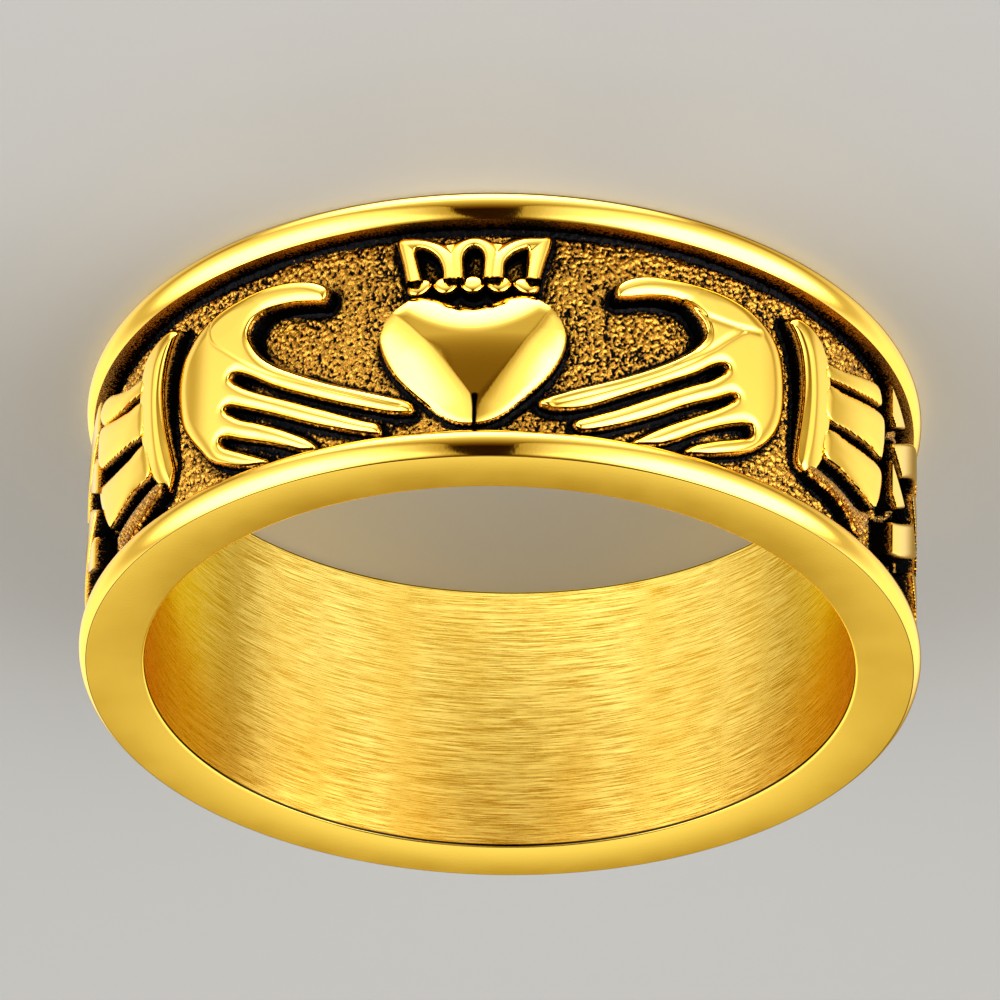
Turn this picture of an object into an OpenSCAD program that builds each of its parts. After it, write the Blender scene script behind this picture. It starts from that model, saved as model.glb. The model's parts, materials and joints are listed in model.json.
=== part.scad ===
// Claddagh ring. A cast band with two domed rims and a channel between them.
// In the channel stand a crowned heart, two cuffed hands that hold it, their
// pleated sleeves, and a flat four-strand plait round the back.
// The ring lies on its side. Its axis is +Z, the heart faces -Y, the crown
// end is down, and the origin is the middle of the lower end face's plane.

/* [Band] */
// Inner diameter, a US size 9
bore_d = 18.95; // [16:0.05:22]
// Width of the band, end face to end face
band_w = 8.1; // [7.2:0.1:9.6]
// Metal between the bore and the floor of the channel
floor_t = 1.05; // [0.9:0.05:1.6]
// Height of the rims above the floor of the channel
rim_h = 0.72; // [0.6:0.02:1]
// Width of one rim
rim_w = 0.8; // [0.6:0.05:1]
// Rise of the domed top of a rim
rim_dome = 0.2; // [0.1:0.02:0.3]
// Chamfer at each end of the bore
edge_break = 0.1; // [0.05:0.01:0.2]

/* [Relief] */
// How far the figures' flat tops lie below the rims' tops
figure_inset = 0.12; // [0.1:0.01:0.2]
// Rounding of the figures' top edges
figure_dome = 0.22; // [0.1:0.01:0.3]
// Spread of a figure's wall from its top edge to its root
draft = 0.06; // [0.02:0.01:0.1]
// Depth to which the figures are rooted in the band
root = 0.35; // [0.3:0.05:0.5]

/* [Heart and hands] */
// Height of the heart's edge below the figures' flat tops
heart_edge = 0.26; // [0.1:0.02:0.4]
// Rise of the heart's middle above the figures' flat tops
heart_rise = 0.08; // [0:0.01:0.1]
// Height of a palm's edge below the figures' flat tops
palm_edge = 0.2; // [0.1:0.02:0.4]
// Rise of a palm's middle above the figures' flat tops
palm_rise = 0.06; // [0:0.01:0.1]
// Rounding of a cuff's top edges
cuff_dome = 0.3; // [0.15:0.01:0.4]
// Rounding of a sleeve pleat's top edges
pleat_dome = 0.15; // [0.08:0.01:0.25]

/* [Crown] */
// Diameter of the beads along the foot of the crown
bead_d = 0.5; // [0.4:0.02:0.6]
// Spacing of the beads
bead_pitch = 0.71; // [0.65:0.01:0.8]

/* [Plait] */
// Width of one strand
strand_w = 0.9; // [0.7:0.05:1.05]
// Gap at each side of a strand where another goes under it
strand_gap = 0.3; // [0.2:0.02:0.4]
// Rounding of a strand's top edges
strand_dome = 0.08; // [0.04:0.01:0.15]
// Clear floor between the plait and a rim
plait_margin = 0.6; // [0.4:0.05:0.8]
// Clear floor between a sleeve's end and the plait
plait_gap = 0.4; // [0.3:0.05:0.8]

/* [Hidden] */

bore_r = bore_d / 2;
floor_r = bore_r + floor_t;
rim_r = floor_r + rim_h;
channel_w = band_w - 2 * rim_w;
figure_h = rim_h - figure_inset;

// A rim's domed top is an arc over its whole width
dome_r = (pow(rim_w / 2, 2) + pow(rim_dome, 2)) / (2 * rim_dome);

// The figures are laid out flat and wrapped on the radius of their tops.
// u runs round the ring from the heart's middle, t from mid-width towards
// the crown end, and h up from the floor of the channel.
// The tables hold u and t for a channel of drawn_w, and figure_k fits them
// to this one.
drawn_w = 6.5;
figure_k = channel_w / drawn_w;
wrap_r = floor_r + figure_h;
around = 2 * PI * wrap_r;

// Columns: u, t. Half of the heart's outline, from its cleft to its tip
HEART = [[0, 0.43], [0.5, 0.58], [1.05, 0.82], [1.6, 0.84], [2.1, 0.48], [2.42, 0], [2.44, -0.5],
    [2.25, -1.1], [1.9, -1.68], [1.4, -2.25], [0.85, -2.75], [0.35, -3.05]];
HEART_MIDDLE = [0, -0.6];
heart_crest = 1.3;

// Columns: u, t. Outline of a palm, from the crotch of the thumb
PALM = [[6.4, 0.85], [6.9, 1.75], [7.5, 1.86], [8.1, 1.65], [8.65, 1.15], [8.95, 0.45], [8.95, -0.35],
    [8.8, -1.0], [8.4, -1.7], [7.9, -2.3], [7.45, -2.45], [7.3, -2.05], [7.25, -1.2], [6.95, -0.35],
    [6.3, 0.05]];
PALM_MIDDLE = [7.8, 0];
palm_crest = 0.9;

// Columns: u, t, half width. Centre lines of the ridges, each from its tip
THUMB = [[4.1, 1.5, 0.24], [4.8, 1.68, 0.31], [5.6, 1.77, 0.35], [6.4, 1.62, 0.44], [7.2, 1.15, 0.6]];
INDEX = [[1.85, -2.42, 0.18], [2.6, -2.18, 0.24], [3.6, -1.78, 0.25], [4.6, -1.28, 0.27],
    [5.6, -0.66, 0.31], [6.6, 0.1, 0.36]];
MIDDLE = [[2.6, -2.98, 0.16], [3.6, -2.6, 0.22], [4.6, -2.14, 0.24], [5.6, -1.57, 0.25],
    [6.6, -0.98, 0.27], [7.4, -0.55, 0.28]];
RING_FINGER = [[4.5, -3.1, 0.12], [5.1, -2.83, 0.19], [6.0, -2.31, 0.23], [6.9, -1.78, 0.27],
    [7.7, -1.35, 0.28]];
LITTLE = [[5.9, -3.1, 0.1], [6.5, -2.92, 0.17], [7.1, -2.62, 0.21], [7.7, -2.22, 0.25]];
CUFF = [[9.5, 1.9, 0.42], [9.95, 1.3, 0.53], [10.15, 0.5, 0.57], [10.15, -0.3, 0.56],
    [10.0, -1.1, 0.52], [9.75, -1.8, 0.45], [9.5, -2.25, 0.36]];
PLEATS = [
    [[10.9, 1.26, 0.2], [11.8, 1.45, 0.27], [12.7, 1.72, 0.3], [13.3, 1.8, 0.28]],
    [[10.85, 0.25, 0.47], [11.8, 0.4, 0.5], [12.7, 0.57, 0.54], [13.5, 0.66, 0.52]],
    [[10.75, -1.12, 0.5], [11.8, -1.14, 0.6], [12.7, -1.08, 0.64], [13.4, -0.98, 0.6]],
    [[10.3, -2.3, 0.16], [11.2, -2.42, 0.2], [12.2, -2.62, 0.26]]];
// Heights of the pleats as shares of the figures' height
PLEAT_H = [1, 1, 1, 0.6];
pleat_tip = 0.2;
sleeve_end = 13.75;

// Columns: u, t, half width. Bars of the right half of the crown
CROWN_BAR = [[1.6, 1.2, 0.18], [1.72, 1.9, 0.18], [1.84, 2.55, 0.18]];
CROWN_LEAF = [[1.84, 2.56, 0.16], [1.35, 2.46, 0.16], [0.95, 2.18, 0.16], [0.73, 1.8, 0.15],
    [0.63, 1.3, 0.14]];
CROWN_ARCH = [[0.42, 1.3, 0.13], [0.41, 1.95, 0.13], [0.27, 2.33, 0.14], [0, 2.5, 0.15],
    [-0.27, 2.33, 0.14], [-0.41, 1.95, 0.13], [-0.42, 1.3, 0.13]];
CROWN_DIP = [[1.0, 2.46, 0.13], [0.68, 2.38, 0.15], [0.36, 2.46, 0.13]];
crown_foot = 1.22;
bead_count = 5;
// Width of a bead's foot as a share of the bead
bead_foot = 0.9;

// The plait has four strands, each a rounded zigzag of half_waves half waves.
// wave_round near 1 gives straight runs and tight turns.
strands = 4;
half_waves = 5;
wave_round = 0.97;
plait_reach = (channel_w - strand_w) / 2 - plait_margin;
plait_u0 = sleeve_end * figure_k;
half_wave = (around - 2 * plait_u0) / half_waves;
plait_cut = plait_gap / half_wave;
// Rows of a strand in one half wave, and the shortest piece that is kept
strand_rows = 10;
shortest_piece = 0.08;

// A ridge's section is flat to this share of its half width, then an arc
shoulder = 0.7;
shoulder_drop = 1 - sqrt(1 - shoulder * shoulder);
// The last row of a ridge's rounded tip
tip_w = 0.5;
tip_h = 0.72;

function mix(a, b, f) = a + (b - a) * f;

function unit(v) = v / norm(v);

// A curve through four rows, between the second and the third
function bend(a, b, c, d, f) =
    b + (c - a) * f / 2 + (2 * a - 5 * b + 4 * c - d) * f * f / 2
    + (3 * b - a - 3 * c + d) * f * f * f / 2;

function smooth(rows, steps) = let (last = len(rows) - 1) [
    for (i = [0 : last - 1], s = [0 : steps - 1])
        bend(rows[max(i - 1, 0)], rows[i], rows[i + 1], rows[min(i + 2, last)], s / steps),
    rows[last]];

function smooth_loop(rows, steps) = let (n = len(rows)) [
    for (i = [0 : n - 1], s = [0 : steps - 1])
        bend(rows[(i + n - 1) % n], rows[i], rows[(i + 1) % n], rows[(i + 2) % n], s / steps)];

// The place on the ring of a point laid out flat
function wrapped(u, t, h) = let (a = u / wrap_r * 180 / PI, r = floor_r + h)
    [-r * sin(a), -r * cos(a), band_w / 2 - t];

// How far a point is from the nearest edge of a closed outline
function edge_gap(p, loop) = min([for (i = [0 : len(loop) - 1]) let (
    a = loop[i], ab = loop[(i + 1) % len(loop)] - a,
    f = max(0, min(1, (p - a) * ab / (ab * ab))))
    norm(p - a - f * ab)]);

// Closed body through equal rings of points, its ends closed by fans
module loft(rings) {
    n = len(rings[0]);
    last = (len(rings) - 1) * n;
    walls = [for (i = [0 : len(rings) - 2], k = [0 : n - 1]) let (a = i * n + k, b = i * n + (k + 1) % n)
        each [[a, b, b + n], [a, b + n, a + n]]];
    ends = [for (k = [1 : n - 2]) each [[0, k + 1, k], [last, last + k, last + k + 1]]];
    polyhedron([for (ring = rings) each ring], concat(walls, ends));
}

// Cross-section of a ridge. Columns: place across it, height above the floor
function section(w, h, dome) = [[-w - draft, -root], [-w, h - dome],
    [-shoulder * w, h - shoulder_drop * dome], [0, h], [shoulder * w, h - shoulder_drop * dome],
    [w, h - dome], [w + draft, -root]];

// Rows u, t, half width and height share along a ridge, with rounded tips
// that reach tip half widths past the line's ends
function tipped(line, tip) = let (
    last = len(line) - 1,
    p = line[0], q = line[last],
    back = unit([p[0] - line[1][0], p[1] - line[1][1]]) * p[2] * tip,
    on = unit([q[0] - line[last - 1][0], q[1] - line[last - 1][1]]) * q[2] * tip)
    [[p[0] + back[0], p[1] + back[1], p[2] * tip_w, tip_h],
    for (row = line) [row[0], row[1], row[2], 1],
    [q[0] + on[0], q[1] + on[1], q[2] * tip_w, tip_h]];

// A raised ridge along rows of u, t and half width
module ridge(rows, height = figure_h, dome = figure_dome, tip = 0.9, steps = 2) {
    line = tipped(smooth([for (row = rows) row * figure_k], steps), tip);
    last = len(line) - 1;
    loft([for (i = [0 : last]) let (
        a = line[max(i - 1, 0)], b = line[min(i + 1, last)], p = line[i],
        d = unit([b[0] - a[0], b[1] - a[1]]), h = height * p[3])
        [for (s = section(p[2], h, min(dome, 0.9 * h)))
            wrapped(p[0] - s[0] * d[1], p[1] + s[0] * d[0], s[1])]]);
}

// A raised cushion inside a closed outline. It rises from its edge's height
// to its full height over the distance crest from the outline.
module cushion(outline, middle, edge, height, crest, steps) {
    loop = smooth_loop(outline * figure_k, steps);
    centre = middle * figure_k;
    // Rings of the top, each as a share of the way in from the outline
    insets = [0, 0.06, 0.16, 0.3, 0.5, 0.72];
    n = len(loop);
    feet = [for (p = loop) let (q = p + unit(p - centre) * draft) wrapped(q[0], q[1], -root)];
    tops = [for (s = insets, p = loop) let (
        q = mix(p, centre, s), g = min(1, edge_gap(q, loop) / (crest * figure_k)))
        wrapped(q[0], q[1], mix(edge, height, sqrt(g * (2 - g))))];
    points = concat([wrapped(centre[0], centre[1], -root)], feet, tops,
        [wrapped(centre[0], centre[1], height)]);
    peak = len(points) - 1;
    rim = len(insets) * n;
    walls = [for (r = [0 : len(insets) - 1], k = [0 : n - 1]) let (
        a = 1 + r * n + k, b = 1 + r * n + (k + 1) % n)
        each [[a, b, b + n], [a, b + n, a + n]]];
    ends = [for (k = [0 : n - 1]) let (a = 1 + k, b = 1 + (k + 1) % n)
        each [[0, b, a], [peak, a + rim, b + rim]]];
    polyhedron(points, concat(walls, ends));
}

// Puts children at u and t, with their +Z out from the ring's axis
module at_place(u, t) {
    rotate([90, 0, -u / wrap_r * 180 / PI])
        translate([0, band_w / 2 - t, floor_r])
            children();
}

module mirrored_pair() {
    children();
    mirror([1, 0, 0])
        children();
}

// Half section of one rim at the lower end, from inside the bore's wall
module rim_profile() {
    intersection() {
        translate([rim_r - dome_r, rim_w / 2])
            circle(r = dome_r);
        translate([bore_r, 0])
            square([rim_r, rim_w]);
    }
    translate([bore_r / 2, 0])
        square([rim_r - rim_dome - bore_r / 2, rim_w]);
}

module band() {
    difference() {
        rotate_extrude() {
            translate([bore_r / 2, 0])
                square([floor_r - bore_r / 2, band_w]);
            rim_profile();
            translate([0, band_w])
                mirror([0, 1])
                    rim_profile();
        }
        translate([0, 0, -1])
            cylinder(r = bore_r, h = band_w + 2);
        for (end = [0, 1])
            translate([0, 0, end * band_w])
                mirror([0, 0, end])
                    translate([0, 0, -edge_break])
                        cylinder(r1 = bore_r + 2 * edge_break, r2 = bore_r, h = 2 * edge_break);
    }
}

module heart() {
    left = [for (i = [len(HEART) - 1 : -1 : 1]) [-HEART[i][0], HEART[i][1]]];
    cushion(concat(HEART, left), HEART_MIDDLE, figure_h - heart_edge, figure_h + heart_rise,
        heart_crest, 2);
}

module crown() {
    ridge(CROWN_ARCH);
    mirrored_pair() {
        ridge(CROWN_BAR);
        ridge(CROWN_LEAF);
        ridge(CROWN_DIP);
    }
    for (k = [0 : bead_count - 1])
        at_place((k - (bead_count - 1) / 2) * bead_pitch * figure_k, crown_foot * figure_k) {
            translate([0, 0, figure_h - bead_d / 2])
                sphere(d = bead_d);
            translate([0, 0, -root])
                cylinder(d = bead_foot * bead_d, h = figure_h + root - bead_d / 2);
        }
}

module hand() {
    cushion(PALM, PALM_MIDDLE, figure_h - palm_edge, figure_h + palm_rise, palm_crest, 1);
    for (rows = [THUMB, INDEX, MIDDLE, RING_FINGER, LITTLE])
        ridge(rows);
}

module sleeve() {
    ridge(CUFF, dome = cuff_dome);
    for (i = [0 : len(PLEATS) - 1])
        ridge(PLEATS[i], height = figure_h * PLEAT_H[i], dome = pleat_dome, tip = pleat_tip);
}

// Place u, t on strand j, where x counts half waves from a rising middle
function strand_place(j, x) = [
    plait_u0 + (x - j / 2) * half_wave,
    plait_reach * asin(wave_round * sin(180 * x)) / asin(wave_round)];

// Section of strand j at x, cut square, along t, or along the strand that
// crosses it there. Its feet stand out by the draft, on along the strand too
// at an end: out is -1 there at the first section, and 1 at the last.
function strand_row(j, x, cut, out) = let (
    p = strand_place(j, x),
    d = unit(strand_place(j, x + 0.01) - strand_place(j, x - 0.01)),
    n = [-d[1], d[0]],
    c = cut == "cross" ? [d[0], -d[1]] : cut == "end" ? [0, 1] : n,
    a = c / (c * n))
    [for (s = section(strand_w / 2, figure_h, strand_dome)) let (
        q = p + s[0] * a + (s[1] < 0 ? out * draft : 0) * d)
        wrapped(q[0], q[1], s[1])];

// One piece of strand j from x0 to x1, kept inside the plait's two ends
module strand_piece(j, x0, x1) {
    first = j / 2 + plait_cut;
    last = j / 2 + half_waves - plait_cut;
    a = max(x0, first);
    b = min(x1, last);
    steps = ceil((b - a) * strand_rows);
    start = a > first ? "cross" : "end";
    finish = b < last ? "cross" : "end";
    middle = [for (i = [1 : steps - 1]) strand_row(j, mix(a, b, i / steps), "square", 0)];
    if (b - a > shortest_piece)
        loft(concat([strand_row(j, a, start, -1)], middle, [strand_row(j, b, finish, 1)]));
}

// A strand is broken where it goes under another, at these half waves
module plait() {
    breaks = [-1.25, -0.75, 0, 0.75];
    slope = atan(PI / 2 * plait_reach / half_wave * wave_round / (asin(wave_round) / 90));
    trim = (strand_w / 2 + strand_gap) / (2 * sin(slope)) / half_wave;
    for (j = [0 : strands - 1], wave = [0 : 2 : half_waves + 2], k = [0 : len(breaks) - 2])
        strand_piece(j, wave + breaks[k] + trim, wave + breaks[k + 1] - trim);
}

module ring() {
    color("gold") {
        band();
        heart();
        crown();
        mirrored_pair() {
            hand();
            sleeve();
        }
        plait();
    }
}

$fn = 96;
ring();
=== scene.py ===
"""Claddagh ring, dressed for its picture.

The ring lies on its side on a pale floor. Its axis is +Z and the heart faces
-Y. Each figure in the channel is a surface over a flat layout that is wrapped
round the band: u runs round the ring from the heart's middle, v across it
from the upper end face, and h out from the channel's floor, all in mm.
"""

import json
from math import asin, atan, ceil, cos, degrees, pi, radians, sin, tan

import bpy
import numpy as np
from mathutils import Matrix, Vector


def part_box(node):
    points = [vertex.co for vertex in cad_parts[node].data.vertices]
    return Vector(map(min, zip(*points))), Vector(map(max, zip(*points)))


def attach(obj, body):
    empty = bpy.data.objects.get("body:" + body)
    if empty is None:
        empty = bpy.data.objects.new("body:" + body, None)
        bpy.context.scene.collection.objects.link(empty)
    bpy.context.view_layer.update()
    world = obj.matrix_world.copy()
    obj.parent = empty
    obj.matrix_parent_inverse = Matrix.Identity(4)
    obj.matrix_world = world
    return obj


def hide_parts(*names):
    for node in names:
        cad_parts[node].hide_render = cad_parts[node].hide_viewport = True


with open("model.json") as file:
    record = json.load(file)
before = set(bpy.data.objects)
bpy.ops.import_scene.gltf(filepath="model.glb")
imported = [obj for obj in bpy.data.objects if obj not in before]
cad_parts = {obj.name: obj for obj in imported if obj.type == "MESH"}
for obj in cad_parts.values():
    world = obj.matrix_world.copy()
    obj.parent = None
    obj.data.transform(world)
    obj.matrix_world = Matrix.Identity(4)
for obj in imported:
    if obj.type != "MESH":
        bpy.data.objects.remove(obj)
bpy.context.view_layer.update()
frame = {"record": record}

# Sizes in mm, from the frame where it gives them
MM = 0.001
bore_mount = next(m for m in frame["record"]["mounts"] if m["name"] == "finger_bore")
bore_r = bore_mount["dims"]["r_mm"]
rim_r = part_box("ring")[1][0] / MM
band_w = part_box("ring")[1][2] / MM
rim_h = 0.72
rim_w = 0.8
rim_dome = 0.2
edge_break = 0.1
edge_round = 0.07
figure_h = 0.6
highest = rim_h - 0.01
foot_h = -0.16
draft = 0.06
floor_r = rim_r - rim_h
wrap_r = floor_r + figure_h
around = 2 * pi * wrap_r
channel = (rim_w, band_w - rim_w)

# The camera, from the ring's edges in the picture
view_elevation = 31.05
view_azimuth = -4.555
view_roll = 181.1
view_distance = 379.0
view_lens = 508.6
aim_right = 0.052
aim_up = -1.093

# How far off the soft lights stand, and half the floor's side
light_distance = 650.0
floor_half = 1500

# Spacing of the points on the figures, the plait and the floor, and counts of points on the band
fine = 0.03
plain = 0.045
stipple = 0.04
band_turns = 600
edge_steps = 6
dome_steps = 25

# Columns: u, v. Outlines of the figures' tops, left and right as the heart is seen
HEART = [(0.03, 4.48), (0.36, 4.54), (0.85, 4.81), (1.25, 4.89), (1.6, 4.85), (1.95, 4.66), (2.27, 4.3),
    (2.45, 3.85), (2.43, 3.4), (2.28, 2.95), (2.0, 2.48), (1.6, 2.0), (1.1, 1.48), (0.72, 1.17),
    (0.4, 1.02), (0.1, 0.97), (-0.3, 0.99), (-0.62, 1.13), (-1.0, 1.42), (-1.5, 1.93), (-1.95, 2.47),
    (-2.26, 3.0), (-2.43, 3.5), (-2.46, 3.9), (-2.27, 4.35), (-1.95, 4.68), (-1.6, 4.9), (-1.2, 4.88),
    (-0.8, 4.74), (-0.3, 4.52)]
# Lines where the heart's middle face meets its side faces, from lobe to tip
HEART_FOLDS = [
    [(-2.4, 4.8), (-2.05, 4.45), (-1.55, 3.97), (-1.0, 3.31), (-0.5, 2.6), (0.0, 1.86), (0.6, 0.9)],
    [(2.4, 4.95), (2.0, 4.5), (1.5, 3.8), (1.0, 3.06), (0.5, 2.33), (0.2, 1.9), (-0.5, 0.9)]]
# Where the crest at the heart's tip runs, and where it ends
CREST = (0.09, 1.97)
CROWN = [(-1.7, 5.3), (-1.86, 6.0), (-2.02, 6.6), (-2.0, 6.76), (-1.84, 6.82), (-1.45, 6.76),
    (-1.05, 6.63), (-0.74, 6.52), (-0.5, 6.55), (-0.22, 6.66), (0.0, 6.7), (0.25, 6.66), (0.52, 6.54),
    (0.74, 6.51), (1.0, 6.62), (1.35, 6.71), (1.75, 6.73), (1.96, 6.76), (2.03, 6.6), (1.84, 5.9),
    (1.68, 5.3), (1.42, 5.36), (1.43, 5.8), (1.43, 6.36), (1.3, 6.37), (1.0, 6.2), (0.8, 5.92),
    (0.74, 5.4), (0.3, 5.4), (0.3, 6.05), (0.2, 6.33), (0.0, 6.43), (-0.2, 6.33), (-0.3, 6.05),
    (-0.3, 5.4), (-0.74, 5.4), (-0.8, 5.75), (-0.94, 6.12), (-1.2, 6.38), (-1.5, 6.47), (-1.57, 6.36),
    (-1.49, 5.9), (-1.38, 5.36)]
# Where the crown's bars end, behind the beads
crown_foot = 5.47
# Ridge lines of the crown's bars
CROWN_BARS = [
    [(-1.56, 5.2), (-1.7, 5.9), (-1.84, 6.6)],
    [(-1.84, 6.62), (-1.35, 6.56), (-0.95, 6.3), (-0.72, 5.9), (-0.62, 5.2)],
    [(-0.4, 5.2), (-0.41, 6.0), (-0.27, 6.38), (0.0, 6.55), (0.27, 6.38), (0.41, 6.0), (0.4, 5.2)],
    [(0.62, 5.2), (0.72, 5.9), (0.95, 6.28), (1.35, 6.54), (1.84, 6.62)],
    [(1.84, 6.62), (1.7, 5.9), (1.56, 5.2)]]
# Columns: u, v, half length, half width, turn in degrees
BEADS = [(-1.42, 5.24, 0.35, 0.25, 28), (-0.73, 5.26, 0.33, 0.29, 0), (-0.02, 5.26, 0.33, 0.29, 0),
    (0.68, 5.26, 0.33, 0.29, 0), (1.39, 5.22, 0.36, 0.25, -18)]

LEFT_HAND = [(-4.04, 5.7), (-4.5, 5.98), (-5.2, 6.15), (-6.0, 6.2), (-6.8, 6.13), (-7.5, 6.0),
    (-8.1, 5.76), (-8.5, 5.45), (-8.85, 5.02), (-9.01, 4.4), (-8.97, 3.75), (-8.8, 3.1), (-8.5, 2.6),
    (-8.1, 2.1), (-7.65, 1.55), (-7.2, 1.25), (-6.7, 1.0), (-6.2, 0.84), (-5.68, 0.78), (-5.9, 0.96),
    (-6.5, 1.33), (-7.1, 1.7), (-7.32, 1.98), (-7.15, 2.08), (-6.5, 1.76), (-5.6, 1.34), (-5.0, 1.02),
    (-4.6, 0.82), (-4.22, 0.8), (-4.5, 1.13), (-5.2, 1.6), (-6.0, 2.07), (-6.7, 2.45), (-7.16, 2.87),
    (-7.0, 2.98), (-6.4, 2.68), (-5.5, 2.2), (-4.5, 1.66), (-3.5, 1.2), (-2.9, 0.97), (-2.42, 0.86),
    (-2.5, 1.18), (-3.0, 1.4), (-4.0, 1.9), (-5.0, 2.43), (-6.0, 3.0), (-6.6, 3.39), (-7.0, 3.78),
    (-6.84, 3.92), (-6.4, 3.7), (-5.5, 3.06), (-4.5, 2.5), (-3.5, 2.01), (-2.5, 1.61), (-1.95, 1.44),
    (-1.55, 1.42), (-1.62, 1.68), (-2.0, 1.9), (-3.0, 2.3), (-4.0, 2.76), (-5.0, 3.34), (-5.6, 3.76),
    (-6.05, 4.2), (-6.34, 4.66), (-6.42, 5.0), (-6.32, 5.26), (-6.1, 5.43), (-5.7, 5.51), (-5.0, 5.46),
    (-4.4, 5.33), (-4.12, 5.27), (-3.99, 5.42)]
RIGHT_HAND = [(3.84, 5.48), (4.1, 5.74), (4.6, 5.94), (5.3, 6.02), (6.2, 6.05), (7.0, 6.0), (7.7, 5.83),
    (8.3, 5.5), (8.68, 5.05), (8.86, 4.5), (8.92, 3.8), (8.87, 3.1), (8.66, 2.5), (8.3, 1.98), (7.9, 1.6),
    (7.4, 1.3), (6.8, 1.06), (6.2, 0.88), (5.78, 0.82), (6.1, 1.14), (6.7, 1.45), (7.4, 1.75),
    (7.82, 1.98), (7.8, 2.32), (7.4, 2.22), (6.8, 1.93), (6.1, 1.52), (5.5, 1.12), (5.0, 0.86),
    (4.3, 0.74), (4.62, 1.03), (5.2, 1.45), (6.0, 1.96), (6.8, 2.48), (7.3, 2.92), (7.2, 3.07),
    (6.6, 2.72), (5.8, 2.28), (5.0, 1.78), (4.2, 1.36), (3.5, 1.05), (2.9, 0.9), (2.75, 1.15),
    (3.3, 1.42), (4.0, 1.76), (5.0, 2.34), (6.0, 2.94), (6.6, 3.3), (7.02, 3.72), (6.94, 3.9),
    (6.6, 3.76), (6.0, 3.3), (5.0, 2.7), (4.0, 2.14), (3.2, 1.72), (2.6, 1.53), (2.05, 1.5), (1.82, 1.7),
    (2.5, 2.04), (3.5, 2.45), (4.5, 2.95), (5.3, 3.45), (5.95, 3.98), (6.28, 4.36), (6.38, 4.68),
    (6.28, 4.96), (6.08, 5.2), (5.8, 5.38), (5.3, 5.44), (4.7, 5.35), (4.1, 5.18), (3.82, 5.16)]
# Fine lines on the hands: from the thumb's root along the first finger, and on the right hand
# also across the thumb's root and round the hollow between thumb and finger
LEFT_LINE = [(-7.72, 5.94), (-7.82, 5.6), (-7.7, 5.2), (-7.2, 4.7), (-6.4, 4.0), (-5.5, 3.36),
    (-4.5, 2.8), (-3.5, 2.31), (-2.5, 1.87), (-1.9, 1.66)]
RIGHT_LINE = [(7.52, 5.14), (7.0, 4.66), (6.5, 4.17), (6.0, 3.76), (5.0, 3.06), (4.0, 2.5), (3.2, 2.15),
    (2.2, 1.72)]
RIGHT_ROOT = [(5.75, 5.42), (6.2, 5.24), (6.6, 5.17), (7.4, 5.17), (8.05, 5.27)]
RIGHT_WEB = [(5.7, 5.42), (6.15, 5.32), (6.42, 5.05), (6.5, 4.75), (6.42, 4.4), (6.1, 4.05)]

LEFT_CUFF = [(-9.05, 6.13), (-9.4, 6.33), (-9.82, 6.33), (-10.22, 6.19), (-10.58, 5.9), (-10.8, 5.4),
    (-10.88, 4.7), (-10.82, 3.95), (-10.65, 3.2), (-10.38, 2.5), (-10.05, 2.0), (-9.7, 1.58),
    (-9.35, 1.22), (-9.12, 1.38), (-9.03, 1.8), (-9.2, 2.4), (-9.42, 3.1), (-9.57, 3.8), (-9.63, 4.5),
    (-9.57, 5.05), (-9.42, 5.55), (-9.2, 5.94)]
RIGHT_CUFF = [(9.06, 6.03), (9.38, 6.27), (9.8, 6.26), (10.16, 6.1), (10.46, 5.75), (10.66, 5.2),
    (10.74, 4.5), (10.71, 3.8), (10.6, 3.1), (10.42, 2.45), (10.18, 1.98), (9.92, 1.7), (9.62, 1.64),
    (9.38, 1.82), (9.41, 2.4), (9.51, 3.1), (9.6, 3.9), (9.6, 4.6), (9.5, 5.25), (9.28, 5.74)]
# Outer edge of each cuff, which has a narrow flat of its own
LEFT_CUFF_FLAT = [(-9.3, 6.33), (-9.82, 6.33), (-10.22, 6.19), (-10.58, 5.9), (-10.8, 5.4), (-10.88, 4.7),
    (-10.82, 3.95), (-10.65, 3.2), (-10.38, 2.5), (-10.05, 2.0), (-9.7, 1.58), (-9.3, 1.15)]
RIGHT_CUFF_FLAT = [(9.3, 6.3), (9.8, 6.26), (10.16, 6.1), (10.46, 5.75), (10.66, 5.2), (10.74, 4.5),
    (10.71, 3.8), (10.6, 3.1), (10.42, 2.45), (10.18, 1.98), (9.8, 1.6)]

LEFT_PLEATS = [
    [(-10.7, 5.46), (-11.5, 5.6), (-12.2, 5.83), (-12.9, 6.13), (-13.45, 6.22), (-13.82, 6.02),
        (-13.5, 5.56), (-12.9, 5.36), (-12.2, 5.2), (-11.4, 5.13), (-10.7, 5.08)],
    [(-10.7, 4.74), (-11.6, 4.92), (-12.5, 5.17), (-13.3, 5.48), (-13.85, 5.6), (-14.12, 5.2),
        (-14.15, 4.7), (-13.8, 4.36), (-13.1, 4.16), (-12.2, 3.97), (-11.4, 3.85), (-10.7, 3.78)],
    [(-10.6, 3.38), (-11.6, 3.41), (-12.6, 3.53), (-13.4, 3.72), (-13.98, 3.9), (-14.06, 3.6),
        (-13.85, 3.1), (-13.5, 2.56), (-13.1, 2.14), (-12.6, 2.1), (-11.9, 2.16), (-11.2, 2.27),
        (-10.3, 2.33)]]
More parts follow.
